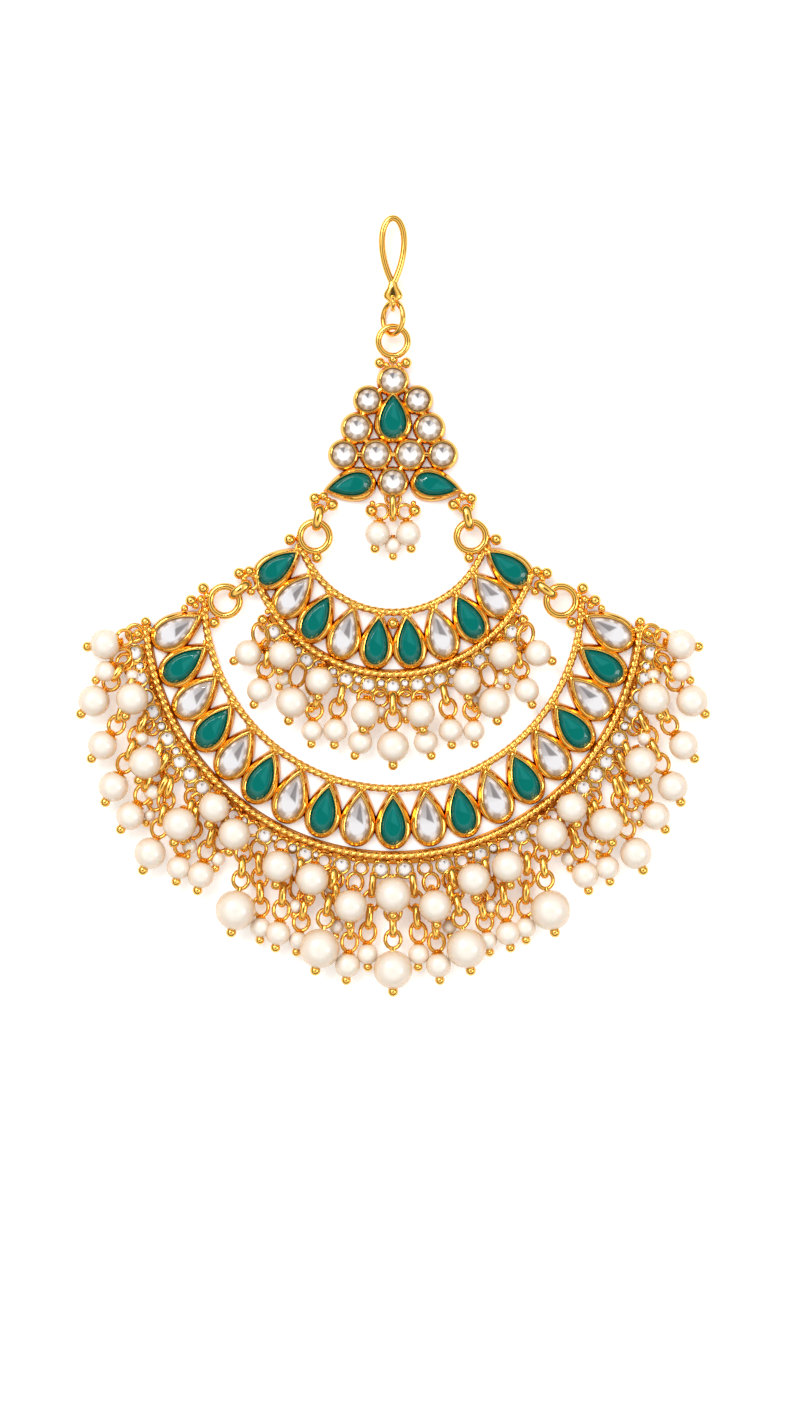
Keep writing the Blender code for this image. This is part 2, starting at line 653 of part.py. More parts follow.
tab = make_hook()
link_bottom = make_top_link(tab)
corner_eye = make_top_plate(link_bottom)
make_inner_crescent()
make_outer_crescent()
for side, name in ((1, "right"), (-1, "left")):
    upper = [(side * x, y) for x, y in (UPPER_RING_PLACE, corner_eye)]
    lower = [(side * x, y) for x, y in (LOWER_RING_PLACE, INNER_EYE_PLACE)]
    corner_link(f"upper_link_{name}", *upper)
    corner_link(f"lower_link_{name}", *lower)
make_top_drops()
make_fringes()
solder()
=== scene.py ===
"""A jhoomar, a gilt crescent head ornament with pearls, lying on its back under a soft studio light.

Sizes in the tables are millimetres in the frame's own axes, and only right-hand places are given: mirrored() adds
the left ones. Angles round a crescent are degrees from straight down.
"""

import bmesh
import bpy
import numpy as np
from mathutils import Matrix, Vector


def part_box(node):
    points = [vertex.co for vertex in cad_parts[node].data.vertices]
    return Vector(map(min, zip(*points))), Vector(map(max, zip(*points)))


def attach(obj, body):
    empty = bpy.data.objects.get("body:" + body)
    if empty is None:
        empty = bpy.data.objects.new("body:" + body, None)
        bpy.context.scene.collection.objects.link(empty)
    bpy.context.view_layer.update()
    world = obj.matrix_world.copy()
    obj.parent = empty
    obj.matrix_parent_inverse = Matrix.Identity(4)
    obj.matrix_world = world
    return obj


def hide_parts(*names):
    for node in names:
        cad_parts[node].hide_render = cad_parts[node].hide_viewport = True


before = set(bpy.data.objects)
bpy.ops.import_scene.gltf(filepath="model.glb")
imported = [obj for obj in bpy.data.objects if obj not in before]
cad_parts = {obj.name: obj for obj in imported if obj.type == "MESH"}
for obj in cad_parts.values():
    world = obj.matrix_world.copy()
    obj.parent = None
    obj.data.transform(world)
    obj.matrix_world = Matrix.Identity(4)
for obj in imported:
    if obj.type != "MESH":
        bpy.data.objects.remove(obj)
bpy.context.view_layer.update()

MM = 0.001
UP = np.array([0.0, 0.0, 1.0])

# Settings: the outer face of a bezel stands WALL outside its stone
PEAR_POINT = 0.78
GAP = 0.3
BEZEL_WALL = 0.4
WALL = GAP + BEZEL_WALL
STONE_TOP = 2.45
STONE_FOOT = 0.85
STONE_BED = 0.75
# Pear stones: length, width, and how many times its wall's offset a setting's point runs out
OUTER_PEAR, INNER_PEAR = (8.0, 5.0, 2.6), (7.9, 4.7, 2.0)
CROWN_PEAR, SIDE_PEAR = (7.4, 5.3, 1.6), (7.5, 4.6, 1.6)

# Crescents: middle and radius of the inner and of the rim rope, stones and how far their tips fan, end angles of
# the two ropes and of the strip outside the rim, and the radius at which the fringe's chains start
OUTER = {"y": 1.2, "radius": 34.0, "rim_y": -0.3, "rim": 44.7, "stones": 19, "fan": 1.064, "ends": (90.0, 87.0),
         "gallery": 82.0, "rail": 48.6}
INNER = {"y": 16.5, "radius": 17.5, "rim_y": 14.1, "rim": 26.3, "stones": 10, "fan": 1.08, "ends": (77.0, 73.0),
         "gallery": 55.0, "rail": 30.0}
# From the inner rope's middle line to the settings' tips, and how many times a setting's width their pitch is
TIP_SPACE, PITCH_ROOM = 0.4, 1.02
ROPE_Z, ROPE_PITCH = 1.25, 3.9
CHANNEL = 0.9

# Solder at a setting's tip: height and radius of the bead, and the ends of the struts (along, across, up) from it
TIP_Z, TIP_BEAD = 1.75, 0.55
STRUT_ENDS = ((-0.6, 0.35, -0.25), (0.15, 1.0, -0.35))
STRUT_WIRE = 0.32

# Rings and eyes that links hang in: right-hand places, height, radii and wires
UPPER_RING, LOWER_RING = (14.1, 12.6), (30.3, 1.0)
PLATE_EYE, CRESCENT_EYE = (13.05, 18.4), (25.7, 4.4)
RING_Z = 1.85
RING, RING_WIRE, TOP_RING_WIRE = 2.65, 0.66, 0.6
EYE, EYE_WIRE = 1.35, 0.4
END_RING, END_RING_WIRE, END_RING_ANGLE, END_RING_ROW = 1.45, 0.45, 84.5, 46.75
PLAY = 0.3

# Corner links: start from the eye's middle, reach past the near side of the ring, half width, wire, and how many
# times thicker the wire is across the link
CORNER_START, CORNER_REACH = 0.25, 1.3
CORNER_WIDE, CORNER_WIRE, CORNER_FLAT = 1.3, 0.42, 1.9

# Hook, its collar and tab, and the oval link, all at one height
HOOK_PEAR = (11.85, 4.0, 1.0)
HOOK_Y, HOOK_Z, HOOK_WIRE = 64.0, 2.45, 0.6
NECK_DROP = 5.92
COLLAR_LAP, COLLAR_LENGTH = 0.6, 3.9
TAB_LAP, TAB_LONG, TAB_WIDE, TAB_WIRE = 0.25, 1.15, 1.75, 0.42
OVAL_LONG, OVAL_WIRE = 2.9, 0.5
OVAL_SIDE, OVAL_RISE = 1.8, 1.9

# Top plate: x, y and stone radius of its round settings
ROUNDS = np.array([(0.0, 40.8, 2.15), (4.5, 37.28, 1.95), (6.53, 32.22, 2.15), (8.91, 27.45, 2.05),
                   (3.05, 27.45, 2.2), (0.0, 22.48, 2.1)])
CROWN_PLACE = np.array([[0.0, 34.0, 90.0]])
SIDE_PLACES = np.array([[7.55, 21.95, -11.0], [-7.55, 21.95, 191.0]])

# Granules: x, y, radius and height of each middle
PLATE_GRANULES = np.array([(2.4, 43.9, 1.01, 2.0), (0.0, 44.5, 0.9, 2.2), (3.9, 17.3, 1.17, 1.5),
                           (14.1, 19.5, 1.08, 1.9), (10.9, 18.3, 1.08, 1.9), (12.5, 19.9, 0.85, 1.9),
                           (1.15, 43.5, 0.6, 2.0), (11.6, 19.2, 0.55, 1.6), (3.7, 18.6, 0.55, 1.5)])
INNER_GRANULES = np.array([(16.9, 12.3, 0.7, 1.5), (18.6, 12.1, 1.08, 1.85), (13.7, 8.8, 0.99, 1.85),
                           (27.7, 6.0, 1.08, 1.85), (25.9, 6.4, 0.95, 1.85), (25.6, 2.7, 0.81, 1.7),
                           (23.5, -2.4, 1.03, 1.6), (0.0, -3.0, 1.08, 1.6), (24.6, 5.4, 0.7, 1.6),
                           (26.9, 5.0, 0.6, 1.8), (22.6, -0.9, 0.6, 1.5)])
OUTER_GRANULES = np.array([(34.2, 3.3, 1.08, 1.85), (36.4, 1.1, 1.08, 1.85), (34.6, 1.3, 0.81, 1.85),
                           (32.2, -2.9, 1.08, 1.7), (37.6, -0.3, 0.72, 1.7), (33.5, 2.0, 0.7, 1.7),
                           (35.6, 0.2, 0.7, 1.7), (44.6, -2.7, 0.9, 1.6), (46.0, -4.9, 0.9, 1.6),
                           (43.9, -4.2, 0.7, 1.5), (33.8, -0.6, 0.7, 1.6)])

# Short rods between round settings whose middles are this far apart, least and most
BRIDGE_SPAN = (1.0, 6.6)
BRIDGE_HALF, BRIDGE_Z, BRIDGE_WIRE = 0.5, 1.45, 0.42

# Rows outside the rim ropes: a crystal's share of its size, its foot and top, the open rings' wire and height, and
# solder balls, which start at an angle and stand a step apart, in from the crystals by a space
CRYSTAL_SHARE, CRYSTAL_FOOT, CRYSTAL_TOP = 0.9, 0.6, 1.75
LOOP_WIRE, LOOP_Z = 0.33, 0.95
SOLDER_START, SOLDER_STEP, SOLDER_SPACE = 1.1, 2.1, 0.75
SOLDER_SIZE, SOLDER_Z = 0.5, 1.0

# The crystals and open rings of those rows: angle, radius of the row, size
OUTER_CRYSTALS = ((80.1, 47.3, 1.4), (74.5, 47.3, 1.4), (70.2, 47.3, 1.3), (66.7, 47.3, 1.4), (59.9, 47.1, 1.4),
                  (54.2, 47.5, 1.4), (50.7, 47.3, 1.4), (46.7, 47.3, 1.4), (29.4, 47.2, 1.4), (19.6, 47.2, 1.4),
                  (11.3, 47.3, 1.4), (2.6, 47.2, 1.4), (77.1, 46.9, 0.8), (63.0, 46.9, 0.8), (56.6, 46.9, 0.8),
                  (35.1, 46.9, 0.8), (22.7, 46.9, 0.8), (27.3, 46.6, 0.6), (17.4, 46.6, 0.6))
OUTER_LOOPS = ((41.9, 47.2, 1.5), (37.6, 47.2, 1.5), (32.4, 47.2, 1.5), (25.2, 47.2, 1.5), (15.3, 47.2, 1.5),
               (7.0, 47.2, 1.5), (72.4, 48.1, 1.2), (57.3, 48.3, 1.4), (48.8, 48.4, 1.3), (63.4, 48.6, 1.4))
INNER_CRYSTALS = ((49.0, 28.6, 1.35), (33.3, 28.6, 1.35), (17.3, 28.6, 1.35), (9.0, 28.6, 1.35), (0.0, 28.6, 1.35),
                  (44.3, 28.0, 0.75), (37.8, 28.0, 0.75), (28.8, 28.0, 0.7), (22.7, 28.0, 0.75), (13.0, 28.0, 0.75),
                  (4.4, 28.0, 0.75))
INNER_LOOPS = ((52.9, 29.0, 1.3), (41.0, 29.2, 1.3), (25.6, 29.2, 1.3), (21.0, 29.4, 1.2), (13.3, 29.4, 1.2),
               (4.6, 29.5, 1.2))

# Pearls: x, y, radius, lift off the surface, turn of the pin, angle at which the chain starts
OUTER_PEARLS = np.array([
    (51.8, -6.8, 2.79, 0.0, 82, 84.6), (51.8, -11.7, 1.89, 0.9, 47, 80.5), (53.8, -17.0, 2.88, 0.0, 45, 79.6),
    (52.3, -25.0, 2.66, 0.0, 40, 74.8), (50.3, -32.4, 2.75, 0.0, 28, 66.6), (47.3, -37.7, 2.56, 0.0, 35, 59.6),
    (43.7, -44.4, 2.88, 0.0, 23, 54.2), (38.6, -47.0, 2.16, 0.4, 10, 47.5), (34.6, -48.3, 2.47, 0.0, 12, 40.5),
    (28.3, -54.6, 3.65, 0.0, 11, 33.2), (23.9, -57.8, 1.87, 0.0, 2, 30.0), (20.7, -58.8, 2.25, 0.3, 10, 23.5),
    (17.1, -60.2, 1.71, 0.0, 9, 17.5), (13.2, -61.5, 3.62, 0.0, 11, 12.6), (8.2, -64.6, 2.29, 0.0, 5, 8.0),
    (4.6, -62.6, 1.93, 0.0, -2, 4.2), (46.8, -16.6, 2.93, 1.7, 21, 71.6), (44.5, -28.1, 2.93, 1.7, 19, 61.8),
    (38.3, -39.1, 3.06, 1.7, 16, 48.8), (32.1, -36.1, 2.79, 1.7, 16, 41.9), (28.5, -40.9, 2.90, 1.7, 16, 35.6),
    (20.6, -46.7, 2.90, 1.7, 7, 24.4), (14.5, -49.0, 2.95, 1.7, 8, 17.0), (7.6, -53.8, 2.99, 1.7, 4, 8.2),
    (47.0, -12.5, 1.26, 0.0, 20, 76.0), (45.4, -23.8, 1.35, 0.0, 24, 66.0), (43.5, -33.4, 1.53, 0.0, 15, 57.0),
    (43.9, -37.7, 1.08, 0.0, 24, 55.0), (36.7, -43.2, 1.44, 0.0, 16, 46.0), (31.6, -45.5, 1.35, 0.0, 14, 38.5),
    (17.6, -54.0, 1.26, 0.0, 7, 20.0), (11.3, -51.0, 1.08, 0.0, 9, 13.5), (10.2, -57.7, 1.35, 0.0, 6, 12.5)])
OUTER_CENTRE_PEARLS = np.array([(0.0, -65.3, 3.53, 0.0, 0, 0.0), (0.0, -51.8, 3.29, 1.5, 0, 0.0)])
INNER_PEARLS = np.array([
    (26.1, -8.4, 2.47, 0.0, 61, 54.0), (24.1, -15.1, 2.29, 0.0, 20, 47.6), (18.2, -17.3, 2.88, 0.0, 10, 34.0),
    (14.6, -22.4, 1.96, 0.0, 3, 25.0), (10.4, -22.3, 2.23, 0.0, 4, 17.5), (5.9, -24.4, 2.23, 0.0, 22, 9.5),
    (0.0, -25.2, 2.93, 0.0, 0, 0.0), (19.8, -8.7, 2.59, 1.7, 11, 40.8), (13.2, -13.4, 2.52, 1.7, 5, 25.4),
    (5.0, -19.2, 2.56, 1.7, 7, 8.6), (19.7, -12.9, 1.35, 0.0, 29, 42.0), (14.6, -17.0, 1.08, 0.0, 9, 28.0),
    (2.2, -19.0, 1.08, 0.0, 6, 5.0)])
TOP_PEARLS = np.array([(2.8, 13.1, 2.3, 0.0, 10, 17.6), (0.0, 11.0, 1.53, 0.0, 0, 15.6)])
PIN_BALL = 0.95
NECK_WIRE, SHANK_WIRE = 0.3, 0.42

# Chains: pearls that are lifted by FRONT_LIFT or more lie over the others' chains and show none of their own
FRONT_LIFT = 1.4
CHAIN_Z = 1.1
LINK_STEP = 2.55
LINK_WIRE = 0.38
FLAT_LINK = 1.4
EDGE_LINK_Z = 1.5


def mirrored(table):
    """Every row of a table, then the rows off the middle line again with x turned over."""
    other = table[table[:, 0] != 0.0].copy()
    other[:, 0] *= -1.0
    return np.concatenate([table, other])


def around(centre_y, radius, angle):
    """Points (x, y) at angles from straight down: x is radius times sine, y is centre less radius times cosine."""
    turn = np.radians(angle)
    return np.stack([radius * np.sin(turn), centre_y - radius * np.cos(turn)], -1)


def pear_line(size, offset=0.0, count=48):
    """A pear with its tip at +X. Along is a cosine; across is a sine times a power of the sine of half the
    turn, which draws one end to a point. Both are read off again at equal steps along the line."""
    length, width, point = size
    turn = np.linspace(0.0, 2.0 * np.pi, 721)
    tip, end = length / 2 + point * offset, length / 2 + offset
    fullness = np.sin(turn) * np.abs(np.sin(turn / 2)) ** PEAR_POINT
    along = (tip - end) / 2 + (tip + end) / 2 * np.cos(turn)
    across = (width / 2 + offset) * fullness / fullness.max()
    gone = np.concatenate([[0.0], np.cumsum(np.hypot(np.diff(along), np.diff(across)))])
    steps = np.arange(count) / count * gone[-1]
    return np.stack([np.interp(steps, gone, along), np.interp(steps, gone, across)], -1)


def lofted(rows, places):
    """Outlines (columns, 2) at their heights, turned and set down at each place (x, y, degrees)."""
    lines = np.array([np.column_stack([line, np.full(len(line), height)]) for line, height in rows])
    turn = np.radians(places[:, 2])[:, None, None]
    x = lines[None, :, :, 0] * np.cos(turn) - lines[None, :, :, 1] * np.sin(turn) + places[:, 0, None, None]
    y = lines[None, :, :, 0] * np.sin(turn) + lines[None, :, :, 1] * np.cos(turn) + places[:, 1, None, None]
    return np.stack([x, y, np.broadcast_to(lines[None, :, :, 2], x.shape)], -1), False


def turned(profile, centres, axes, sizes=1.0, sides=16):
    """A profile of (radius, height along the axis) turned about each axis, and made larger by each size."""
    profile = np.asarray(profile, float)
    centres = np.atleast_2d(centres)
    axes = np.broadcast_to(axes, centres.shape)
    sizes = np.broadcast_to(sizes, len(centres))[:, None, None, None]
    side = np.cross(axes, np.where(np.abs(axes[:, 2:3]) > 0.9, [[1.0, 0.0, 0.0]], [[0.0, 0.0, 1.0]]))
    side /= np.linalg.norm(side, axis=1, keepdims=True)
    other = np.cross(axes, side)
    turn = 2 * np.pi * np.arange(sides) / sides
    spoke = np.cos(turn)[None, :, None] * side[:, None] + np.sin(turn)[None, :, None] * other[:, None]
    spread = profile[None, :, 0, None, None] * spoke[:, None]
    rise = profile[None, :, 1, None, None] * axes[:, None, None]
    return centres[:, None, None] + sizes * (spread + rise), False


def ball(rows=8):
    """Half a circle from pole to pole, as (sine, cosine) of equal turns."""
    turn = np.linspace(0.0, np.pi, rows + 1)
    return np.stack([np.sin(turn), np.cos(turn)], -1)


def loops(centres, along, across, half_long, half_wide, wire, flat=1.0, steps=22, sides=8, square=1.0):
    """Closed wires on ellipses: centre + cosine * along + sine * across, with a round section square to them.
    A square under 1 fills the ellipse out towards a link with straight sides."""
    turn = 2 * np.pi * np.arange(steps) / steps
    cosine, sine = np.cos(turn), np.sin(turn)
    long_way = np.sign(cosine) * np.abs(cosine) ** square
    half_long, half_wide, wire = (np.broadcast_to(value, len(centres))[:, None, None]
                                  for value in (half_long, half_wide, wire))
    path = centres[:, None] + half_long * long_way[None, :, None] * along[:, None] \
        + half_wide * sine[None, :, None] * across[:, None]
    heading = np.roll(path, -1, 1) - np.roll(path, 1, 1)
    heading /= np.linalg.norm(heading, axis=2, keepdims=True)
    face = np.cross(along, across)[:, None]
    outward = np.cross(heading, face)
    section = 2 * np.pi * np.arange(sides) / sides
    ring = np.cos(section)[:, None] * outward[:, :, None] + flat * np.sin(section)[:, None] * face[:, :, None]
    return path[:, :, None] + wire[..., None] * ring, True


def flat_rings(centres, radius, wire):
    """Round rings that lie flat about their middles."""
    count = len(centres)
    return loops(centres, np.tile([1.0, 0, 0], (count, 1)), np.tile([0, 1.0, 0], (count, 1)), radius, radius, wire,
                 steps=28, sides=10)


def along_arc(profile, centre_y, radius, angles, steps, height=0.0, twist=0.0):
    """A profile of (outwards, up) carried round an arc and turned by twist for each millimetre of it."""
    profile = np.asarray(profile, float)
    turn = np.radians(np.linspace(angles[0], angles[1], steps))
    roll = (twist * turn * radius)[:, None]
    outwards = profile[:, 0] * np.cos(roll) - profile[:, 1] * np.sin(roll)
    up = profile[:, 0] * np.sin(roll) + profile[:, 1] * np.cos(roll)
    x = (radius + outwards) * np.sin(turn)[:, None]
    y = centre_y - (radius + outwards) * np.cos(turn)[:, None]
    rows = np.stack([x, y, height + up], -1)
    ends = [np.broadcast_to(rows[i].mean(0), (1, *rows[i].shape)) for i in (0, -1)]
    return np.concatenate([ends[0], rows, ends[1]])[None], False


def rope(centre_y, radius, end):
    """Three wires laid together: a section of three round lobes, a cosine with its sign dropped, twisted along."""
    section = 2 * np.pi * np.arange(18) / 18
    reach = 0.57 + 0.16 * np.abs(np.cos(1.5 * section))
    lobes = np.stack([reach * np.cos(section), reach * np.sin(section)], -1)
    steps = int(radius * np.radians(2 * end) / ROPE_PITCH * 24)
    return along_arc(lobes, centre_y, radius, (-end, end), steps, ROPE_Z, 2 * np.pi / ROPE_PITCH)


def rods(starts, ends, radius, sides=8):
    """Straight round rods with closed ends between pairs of points."""
    span = ends - starts
    length = np.linalg.norm(span, axis=1)
    points, looped = turned([(0, 0), (1, 0), (1, 1), (0, 1)], starts, span / length[:, None], 1.0, sides)
    offset = points - starts[:, None, None]
    axis = (span / length[:, None])[:, None, None]
    rise = (offset * axis).sum(-1, keepdims=True)
    length = length[:, None, None, None]
    return starts[:, None, None] + (offset - rise * axis) * radius + rise * axis * length, looped


def faces_of(points, looped, first):
    """Four corners of every cell of the grids, the columns closing on themselves and the rows too if looped."""
    copies, rows, columns, _ = points.shape
    row, column = np.meshgrid(np.arange(rows if looped else rows - 1), np.arange(columns), indexing="ij")
    below, beside = (row + 1) % rows, (column + 1) % columns
    cell = np.stack([row * columns + column, row * columns + beside, below * columns + beside,
                     below * columns + column], -1).reshape(-1, 4)
    return (first + np.arange(copies)[:, None, None] * rows * columns + cell).reshape(-1, 4)


def piece(name, parts, material, nodes=(), crease=45.0, cut=None):
    """One finished piece from its grids. A crease of 0 leaves every facet flat."""
    first, faces = 0, []
    for points, looped in parts:
        faces.append(faces_of(points, looped, first))
        first += points[..., 0].size
    places = np.concatenate([points.reshape(-1, 3) for points, _ in parts]) * MM
    mesh = bpy.data.meshes.new(name)
    mesh.from_pydata(places.tolist(), [], np.concatenate(faces).tolist())
    if cut is not None:
        mesh.attributes.new("cut", "FLOAT_VECTOR", "POINT").data.foreach_set("vector", cut.reshape(-1))
    shape = bmesh.new()
    shape.from_mesh(mesh)
    bmesh.ops.remove_doubles(shape, verts=shape.verts, dist=1e-7)
    bmesh.ops.recalc_face_normals(shape, faces=shape.faces)
    shape.to_mesh(mesh)
    shape.free()
    mesh.shade_smooth() if crease else mesh.shade_flat()
    if crease:
        mesh.set_sharp_from_angle(angle=np.radians(crease))
    mesh.materials.append(material)
    made = bpy.data.objects.new(name, mesh)
    bpy.context.scene.collection.objects.link(made)
    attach(made, "root")
    if nodes:
        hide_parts(*nodes)


# Materials

def new_tree(name):
    made = bpy.data.materials.new(name)
    made.use_nodes = True
    tree = made.node_tree
    return made, tree, tree.nodes["Principled BSDF"]


def node(tree, kind, **values):
    """A node with its inputs set: names with _ for a space, or in0, in1 by number; other names are its settings."""
    made = tree.nodes.new(kind)
    links = {key: value for key, value in values.items() if key.startswith("in")}
    for key, value in values.items():
        if key not in links:
            setattr(made, key, value)
    for key, value in links.items():
        socket = made.inputs[int(key[2:])] if key[2:].isdigit() else made.inputs[key[2:].replace("_", " ").strip()]
        if isinstance(value, bpy.types.NodeSocket):
            tree.links.new(value, socket)
        else:
            socket.default_value = value
    return made


def maths(tree, operation, *values, clamp=False):
    return node(tree, "ShaderNodeMath", operation=operation, use_clamp=clamp,
                **{f"in{i}": value for i, value in enumerate(values)}).outputs[0]


def blend(tree, factor, first, second, kind="MIX"):
    made = node(tree, "ShaderNodeMix", data_type="RGBA", blend_type=kind, clamp_factor=True)
    for socket, value in zip((made.inputs[0], made.inputs[6], made.inputs[7]), (factor, first, second)):
        if isinstance(value, bpy.types.NodeSocket):
            tree.links.new(value, socket)
        else:
            socket.default_value = value
    return made.outputs[2]


def gilding_group():
    """Gilding: a deep tone low down and in the hollows that is painted shade, with worn cloudy polish and faint
    tool marks.
    """
    made = bpy.data.node_groups.new("Gilding", "ShaderNodeTree")
    # Bright is the gilt's own colour; the deep tone is painted shade.
    for name, kind, value in (("Bright", "NodeSocketColor", (0.91, 0.49, 0.11, 1)),
                              ("Deep", "NodeSocketColor", (0.42, 0.14, 0.01, 1)),
                              ("Hollow Height", "NodeSocketFloat", 1.0), ("Polish", "NodeSocketFloat", 0.08),
                              ("Tool Scale", "NodeSocketFloat", 900.0)):
        socket = made.interface.new_socket(name, in_out="INPUT", socket_type=kind)
        socket.default_value = value
    for name, kind in (("Colour", "NodeSocketColor"), ("Roughness", "NodeSocketFloat"),
                       ("Height", "NodeSocketFloat")):
        made.interface.new_socket(name, in_out="OUTPUT", socket_type=kind)
    given = made.nodes.new("NodeGroupInput")
    result = made.nodes.new("NodeGroupOutput")
    where = node(made, "ShaderNodeTexCoord")
    height = node(made, "ShaderNodeSeparateXYZ", in0=where.outputs["Object"]).outputs[2]
    cloud = node(made, "ShaderNodeTexNoise", inVector=where.outputs["Object"], inScale=420.0, inDetail=4.0)
    marks = node(made, "ShaderNodeTexNoise", inVector=where.outputs["Object"], inScale=given.outputs["Tool Scale"],
                 inDetail=3.0)
    # Painted shade: the colour goes over to the deep tone low down on the piece, below the given height, with a
    # cloudy edge.
    level = maths(made, "DIVIDE", maths(made, "MULTIPLY", height, 1000.0), given.outputs["Hollow Height"])
    level = maths(made, "ADD", level, maths(made, "MULTIPLY", maths(made, "SUBTRACT", cloud.outputs[0], 0.5), 0.5))
    smooth = node(made, "ShaderNodeMapRange", in0=level, in1=0.25, in2=1.1, in3=0.0, in4=1.0).outputs[0]
    colour = blend(made, smooth, given.outputs["Deep"], given.outputs["Bright"])
    warm = blend(made, maths(made, "MULTIPLY", cloud.outputs[0], 0.25), colour, (1.0, 0.72, 0.34, 1), "OVERLAY")
    made.links.new(warm, result.inputs["Colour"])
    rough = maths(made, "ADD", given.outputs["Polish"], maths(made, "MULTIPLY", cloud.outputs[0], 0.08))
    made.links.new(rough, result.inputs["Roughness"])
    made.links.new(marks.outputs[0], result.inputs["Height"])
    return made


def gilt(name, group, bump, **values):
    """A gilt finish: the gilding group's colour and polish on a metal, with its tool marks as a faint bump."""
    made, tree, shader = new_tree(name)
    worn = node(tree, "ShaderNodeGroup", node_tree=group)
    for key, value in values.items():
        worn.inputs[key.replace("_", " ")].default_value = value
    raised = node(tree, "ShaderNodeBump", inStrength=bump, inDistance=0.00005, inHeight=worn.outputs["Height"])
    tree.links.new(worn.outputs["Colour"], shader.inputs["Base Color"])
    tree.links.new(worn.outputs["Roughness"], shader.inputs["Roughness"])
    tree.links.new(raised.outputs[0], shader.inputs["Normal"])
    shader.inputs["Metallic"].default_value = 1.0
    return made


def pearl_skin():
    """Imitation pearl: cream, with a painted warm reflection of the gilt where it turns away, under a clear
    lacquer.
    """
    made, tree, shader = new_tree("Pearl")
    where = node(tree, "ShaderNodeTexCoord")
    cloud = node(tree, "ShaderNodeTexNoise", inVector=where.outputs["Object"], inScale=260.0, inDetail=3.0)
    # Painted reflection: towards the rim, where the surface turns from the camera, the cream goes over to warm
    # peach.
    away = node(tree, "ShaderNodeLayerWeight", in0=0.5).outputs["Facing"]
    away = node(tree, "ShaderNodeMapRange", in0=away, in1=0.1, in2=0.8, in3=0.0, in4=1.0).outputs[0]
    colour = blend(tree, away, (0.87, 0.8, 0.71, 1), (0.74, 0.47, 0.23, 1))
    colour = blend(tree, maths(tree, "MULTIPLY", cloud.outputs[0], 0.25), colour, (0.84, 0.75, 0.63, 1))
    tree.links.new(colour, shader.inputs["Base Color"])
    rough = maths(tree, "ADD", 0.22, maths(tree, "MULTIPLY", cloud.outputs[0], 0.1))
    tree.links.new(rough, shader.inputs["Roughness"])
    shader.inputs["Coat Weight"].default_value = 0.8
    shader.inputs["Coat Roughness"].default_value = 0.12
    shader.inputs["Subsurface Weight"].default_value = 0.15
    shader.inputs["Subsurface Scale"].default_value = 0.001
    return made


def stone_skin(name, table, tip, streak, rim_bright_reflection, rim_dark_reflection, edge, apex=0.53, widen=-0.23, stop=0.0,
               ring_start=0.68):
    """Foiled stones read their own lines from the cut attribute: along, across and share out to the edge, and paint
    their reflections on them. Streaks of painted reflection, dark on the clear stones and a paler painted highlight
    on the green, start from an apex along the stone, widen away from it and break off at a slanting stop."""
    made, tree, shader = new_tree(name)
    lines = node(tree, "ShaderNodeSeparateXYZ",
                 in0=node(tree, "ShaderNodeAttribute", attribute_name="cut").outputs["Vector"])
    along, across, share = lines.outputs[0], lines.outputs[1], lines.outputs[2]

    def ramp(value, low, high):
        return node(tree, "ShaderNodeMapRange", in0=value, in1=low, in2=high, in3=0.0, in4=1.0).outputs[0]

    def wedge(width, lean):
        """A streak: how far across it lies is compared with its own growing width, up to where it breaks off."""
        gone = maths(tree, "SUBTRACT", along, apex)
        beside = maths(tree, "ABSOLUTE", maths(tree, "ADD", across, maths(tree, "MULTIPLY", gone, lean)))
        inside = maths(tree, "SUBTRACT", maths(tree, "MULTIPLY", gone, width), beside)
        slant = maths(tree, "SUBTRACT", along, maths(tree, "MULTIPLY", across, 0.6))
        return maths(tree, "MULTIPLY", ramp(inside, 0.0, 0.03), ramp(slant, stop - 0.02, stop + 0.03))

    colour = blend(tree, ramp(along, -0.1, 0.35), table, tip)
    # Painted reflection: two streaks laid over the table, dark on the clear stones and pale on the green.
    colour = blend(tree, maths(tree, "MULTIPLY", wedge(widen * 1.25, -widen * 0.8), 0.35), colour, streak)
    colour = blend(tree, maths(tree, "MULTIPLY", wedge(widen * 0.75, widen * 0.3), 0.85), colour, streak)
    # Painted reflections: a ring of light and dark facets that alternate round the table.
    turn = maths(tree, "ARCTAN2", across, along)
    facet = ramp(maths(tree, "SINE", maths(tree, "MULTIPLY", turn, 7.0)), -0.7, 0.5)
    ring = blend(tree, facet, rim_bright_reflection, rim_dark_reflection)
    colour = blend(tree, ramp(share, ring_start, ring_start + 0.08), colour, ring)
    # Painted reflection: the gilt setting browns the stone's edge.
    colour = blend(tree, maths(tree, "MULTIPLY", ramp(share, 0.84, 0.98), 0.7), colour, edge)
    where = node(tree, "ShaderNodeTexCoord")
    cloud = node(tree, "ShaderNodeTexNoise", inVector=where.outputs["Object"], inScale=700.0, inDetail=3.0)
    colour = blend(tree, maths(tree, "MULTIPLY", cloud.outputs[0], 0.2), colour, rim_bright_reflection)
    tree.links.new(colour, shader.inputs["Base Color"])
    rough = maths(tree, "ADD", 0.03, maths(tree, "MULTIPLY", cloud.outputs[0], 0.04))
    tree.links.new(rough, shader.inputs["Roughness"])
    return made


